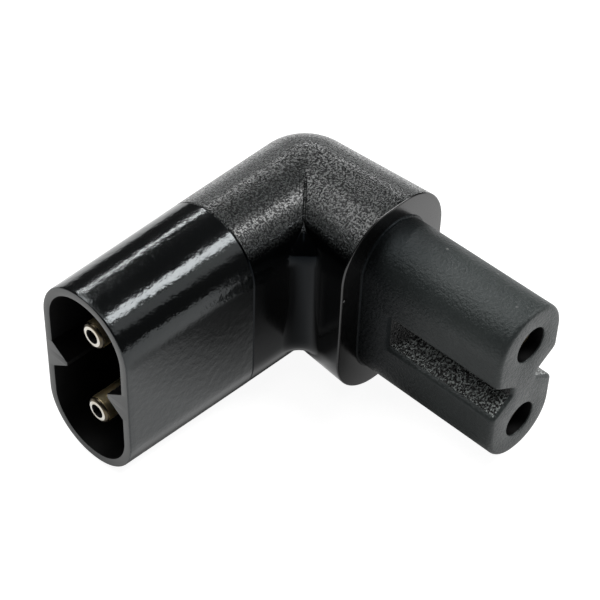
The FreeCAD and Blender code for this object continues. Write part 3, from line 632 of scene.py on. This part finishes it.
# painted shade: the specular tint dims the reflections in the same zone beside the collar
tree.links.new(blended(tree, out, (0.22, 0.27, 0.3), (0.95, 1.0, 1.0)),
               shader.inputs["Specular Tint"])
tree.links.new(mapped(tree, fine, 0.3, 0.7, 0.32, 0.44), shader.inputs["Roughness"])
tree.links.new(bumped(tree, fine, 0.8, 0.0001), shader.inputs["Normal"])
shader.inputs["Specular IOR Level"].default_value = 0.32

painted_glint_groove, tree, shader = material_for("painted_glint_groove_flank")
place = object_place(tree)
shader.inputs["Roughness"].default_value = 0.26
coarse = noise_at(tree, place, 5600.0, 2.0, 0.6)
sloped = mapped(tree, steepness(tree), 0.4, 0.8, 0.0, 1.0)
# painted glints: grey specks on the grain's peaks, only on the faces that slope up or down, so
# the groove's floor stays dark as painted shade
painted_glints = joined(tree, "MULTIPLY", sloped, mapped(tree, coarse, 0.5, 0.6, 0.0, 1.0))
tree.links.new(blended(tree, painted_glints, (0.003, 0.0035, 0.0035), (0.36, 0.39, 0.38)),
               shader.inputs["Base Color"])
tree.links.new(bumped(tree, coarse, 0.9, 0.0002), shader.inputs["Normal"])


def nose_slots(middle, normal):
    """The walls of the two holes are dark with painted shade, the grooves carry painted glints,
    the rest is matte.
    """
    beside = np.hypot(middle[:, 0], np.abs(middle[:, 2]) - PIN_HEIGHT)
    hole = (beside < ENTRY_RADIUS + 0.01) & (middle[:, 1] > -NOSE_REACH + 0.1)
    groove = (np.abs(middle[:, 2]) < GROOVE_HALF) & (np.abs(middle[:, 0]) < NOSE[0] - 0.3)
    groove &= (np.abs(middle[:, 0]) > 1.0) & (middle[:, 1] > -NOSE_REACH + 0.3)
    return np.where(hole, 1, np.where(groove, 2, 0))


dress(nose, [matte, painted_shade_recess, painted_glint_groove], nose_slots)
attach(nose, "root")
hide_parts("connector_insert")

# The pins: turned from brass rod and plated bright, with a rounded and hollow open
# end. Each stands in the floor of the inlet, whose moulding grips its shoulder.

PIN_TIP, PIN_RADIUS, PIN_BORE, PIN_BACK = 24.0, 1.2, 0.55, 11.0
# the round of the tip's outer edge, the flare of its mouth, and the bore's depth
TIP_ROUND, MOUTH_FLARE, BORE_DEPTH = 0.38, 0.1, 3.0


def turned_pin(name, up):
    """A profile of radius against reach, turned about the pin's own axis."""
    tip_turn = np.linspace(0.0, math.pi / 2, 7)
    tip_radius = PIN_RADIUS - TIP_ROUND * (1 - np.sin(tip_turn))
    tip_reach = PIN_TIP - TIP_ROUND * (1 - np.cos(tip_turn))
    radius = np.concatenate([[PIN_BORE, PIN_BORE, PIN_BORE + MOUTH_FLARE], tip_radius,
                             [PIN_RADIUS, PIN_RADIUS]])
    reach = np.concatenate([[PIN_TIP - BORE_DEPTH, PIN_TIP - 0.15, PIN_TIP], tip_reach,
                            [18.0, PIN_BACK]])
    turn = np.linspace(0.0, 2 * math.pi, 57)[:-1]
    across = radius[:, None] * np.cos(turn)
    height = up + radius[:, None] * np.sin(turn)
    grid = np.stack([np.broadcast_to(-reach[:, None], across.shape), across, height], axis=-1)
    return skin(name, grid, sharp=50.0)


def plated_metal(name, bright, worn_through, smooth_at, rough_at):
    """A bright plate over brass, with fine turning marks.

    The brass shows through where a slow noise wears the plate away.
    """
    made, tree, shader = material_for(name)
    place = object_place(tree)
    shader.inputs["Metallic"].default_value = 1.0
    wear_and_painted_light = noise_at(tree, place, 900.0, 3.0)
    tree.links.new(blended(tree, mapped(tree, wear_and_painted_light, 0.35, 0.65, 0.0, 1.0), bright, worn_through),
                   shader.inputs["Base Color"])
    tree.links.new(mapped(tree, wear_and_painted_light, 0.3, 0.7, smooth_at, rough_at), shader.inputs["Roughness"])
    stretch = tree.nodes.new("ShaderNodeMapping")
    stretch.inputs["Scale"].default_value = (1.0, 0.08, 0.08)
    tree.links.new(place, stretch.inputs["Vector"])
    turned = noise_at(tree, stretch.outputs["Vector"], 9000.0)
    tree.links.new(bumped(tree, turned, 0.25, 0.00002), shader.inputs["Normal"])
    return made


plated = plated_metal("bright_plated_ring", (0.6, 0.59, 0.56), (0.52, 0.48, 0.4), 0.12, 0.24)
warm = plated_metal("warm_plated_side", (0.95, 0.82, 0.52), (0.85, 0.66, 0.34), 0.34, 0.46)
# painted shade: a near-black copy of the plated metal, for the pins' round tip edges and for the
# contacts deep in the holes
painted_shade_metal = plated_metal("painted_shade_dark_metal", (0.05, 0.045, 0.035), (0.1, 0.08, 0.05), 0.25, 0.4)


def pin_slots(middle, normal):
    """The side is warm and the flat ring bright; the hollow and the round edge get painted shade.
    """
    beside = np.hypot(middle[:, 1], np.abs(middle[:, 2]) - PIN_HEIGHT)
    hollow = (beside < PIN_BORE + 0.09) & (middle[:, 0] < -PIN_TIP + BORE_DEPTH + 0.2)
    ring = (normal[:, 0] < -0.97) & ~hollow
    edge = (normal[:, 0] < -0.2) & ~hollow & ~ring
    return np.where(hollow, 1, np.where(ring, 2, np.where(edge, 3, 0)))


for level, up in (("upper", PIN_HEIGHT), ("lower", -PIN_HEIGHT)):
    pin = turned_pin("pin_skin_" + level, up)
    dress(pin, [warm, painted_shade_recess, plated, painted_shade_metal], pin_slots)
    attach(pin, "root")
    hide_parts("inlet_pin_" + level)

# The contacts and straps, shown by their own solids: spring sleeves of plated brass
# behind the nose's holes, and a bare brass strip from each pin to its contact.

brass, tree, shader = material_for("bare_brass_strip")
place = object_place(tree)
shader.inputs["Metallic"].default_value = 1.0
tint = noise_at(tree, place, 600.0, 2.0)
tree.links.new(blended(tree, tint, (0.58, 0.42, 0.2), (0.72, 0.56, 0.3)),
               shader.inputs["Base Color"])
tree.links.new(mapped(tree, tint, 0.3, 0.7, 0.25, 0.4), shader.inputs["Roughness"])

for level in ("upper", "lower"):
    # the contacts get the near-black metal as painted shade, for they sit deep in the holes
    for node, made in (("contact_socket_" + level, painted_shade_metal), ("link_strap_" + level, brass)):
        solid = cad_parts[node]
        solid.data.materials.clear()
        solid.data.materials.append(made)

# The floor, the lights and the camera: a pale table that shows white, five soft
# lights whose shapes show in the gloss, and a long lens at the photograph's angle.

FLOOR_HALF = 1.5
corners = [(x * FLOOR_HALF, y * FLOOR_HALF, 0.0) for x, y in ((-1, -1), (1, -1), (1, 1), (-1, 1))]
mesh = bpy.data.meshes.new("floor")
mesh.from_pydata(corners, [], [(0, 1, 2, 3)])
floor = bpy.data.objects.new("floor", mesh)
bpy.context.scene.collection.objects.link(floor)
pale, tree, shader = material_for("pale_table")
shader.inputs["Base Color"].default_value = (0.35, 0.35, 0.35, 1.0)
shader.inputs["Roughness"].default_value = 0.9
shader.inputs["Specular IOR Level"].default_value = 0.1
place = object_place(tree)
# in gloss, the table is dark between the two arms, where they shade it
between = distance_to(tree, place, (0.004, -0.008, 0.0))
between = mapped(tree, between, 0.004, 0.0128, 0.02, 1.0)
# and under the inlet's arm
ARM_LINE = 0.0096
axes = axes_of(tree, place)
off_arm = joined(tree, "SUBTRACT", axes.outputs["Y"], ARM_LINE)
off_arm = joined(tree, "ABSOLUTE", off_arm, 0.0)
under = joined(tree, "MAXIMUM", mapped(tree, off_arm, 0.0042, 0.0062, 0.05, 1.0),
               mapped(tree, axes.outputs["X"], -0.0175, -0.0145, 1.0, 0.0))
shaded = joined(tree, "MINIMUM", between, under)
rays = tree.nodes.new("ShaderNodeLightPath").outputs
mirrored = joined(tree, "MAXIMUM", rays["Is Glossy Ray"], rays["Is Transmission Ray"])
mirrored = joined(tree, "MULTIPLY", mirrored, shaded)
seen = joined(tree, "MAXIMUM", rays["Is Camera Ray"], mirrored)
shader.inputs["Emission Color"].default_value = (1.0, 1.0, 1.0, 1.0)
tree.links.new(joined(tree, "MULTIPLY", seen, 0.93), shader.inputs["Emission Strength"])
mesh.materials.append(pale)

world = bpy.data.worlds.new("studio")
bpy.context.scene.world = world
world.use_nodes = True
back = world.node_tree.nodes["Background"]
back.inputs["Color"].default_value = (1.0, 1.0, 1.0, 1.0)
back.inputs["Strength"].default_value = 0.05

LAMP_DISTANCE, OBJECT_MIDDLE = 0.7, (0.0, 0.0, 0.012)


def soft_light(name, toward, narrow, width, length, radiance):
    """An area light that faces the object from a direction.

    Its width runs along narrow and its length square to that. Its power is its
    radiance times pi times its area.
    """
    lamp = bpy.data.lights.new(name, "AREA")
    lamp.shape = "RECTANGLE"
    lamp.size, lamp.size_y = width, length
    lamp.energy = radiance * math.pi * width * length
    stand = bpy.data.objects.new(name, lamp)
    away = Vector(toward).normalized()
    side = Vector(narrow)
    side = (side - away * side.dot(away)).normalized()
    columns = Matrix((side, away.cross(side), away)).transposed()
    place = Vector(OBJECT_MIDDLE) + away * LAMP_DISTANCE
    stand.matrix_world = Matrix.Translation(place) @ columns.to_4x4()
    bpy.context.scene.collection.objects.link(stand)


soft_light("front_strip", (0.527, -0.36, 0.77), (0.0, -0.906, -0.423), 0.15, 0.42, 14.5)
soft_light("front_wash", (0.527, -0.62, 0.58), (0.0, -0.76, -0.65), 0.22, 0.5, 1.0)
soft_light("back_line", (0.527, 0.625, 0.576), (0.0, 0.7, -0.7), 0.03, 0.4, 26.0)
soft_light("back_softbox", (-0.15, 0.49, 0.87), (0.0, 0.87, -0.49), 0.26, 0.7, 4.8)
soft_light("overhead_fill", (-0.05, -0.05, 1.0), (1.0, 0.0, 0.0), 0.42, 0.42, 1.2)

# the camera as solved from the end faces of the inlet and the nose: its place in
# metres, its turn, and its focal length in widths of the picture
EYE = (-0.07962946, -0.07241649, 0.11923456)
FOCAL_WIDTHS = 1886.61 / 600.0
camera = bpy.data.cameras.new("camera")
camera.sensor_width = 36.0
camera.lens = camera.sensor_width * FOCAL_WIDTHS
camera.clip_start, camera.clip_end = 0.01, 10.0
stand = bpy.data.objects.new("camera", camera)
turn = Matrix(((0.69687114, 0.48678023, -0.5267026),
               (-0.71671234, 0.49964212, -0.4864989),
               (0.02634476, 0.71652129, 0.69706756)))
stand.matrix_world = Matrix.Translation(Vector(EYE)) @ turn.to_4x4()
bpy.context.scene.collection.objects.link(stand)
bpy.context.scene.camera = stand
bpy.context.scene.view_settings.view_transform = "Standard"
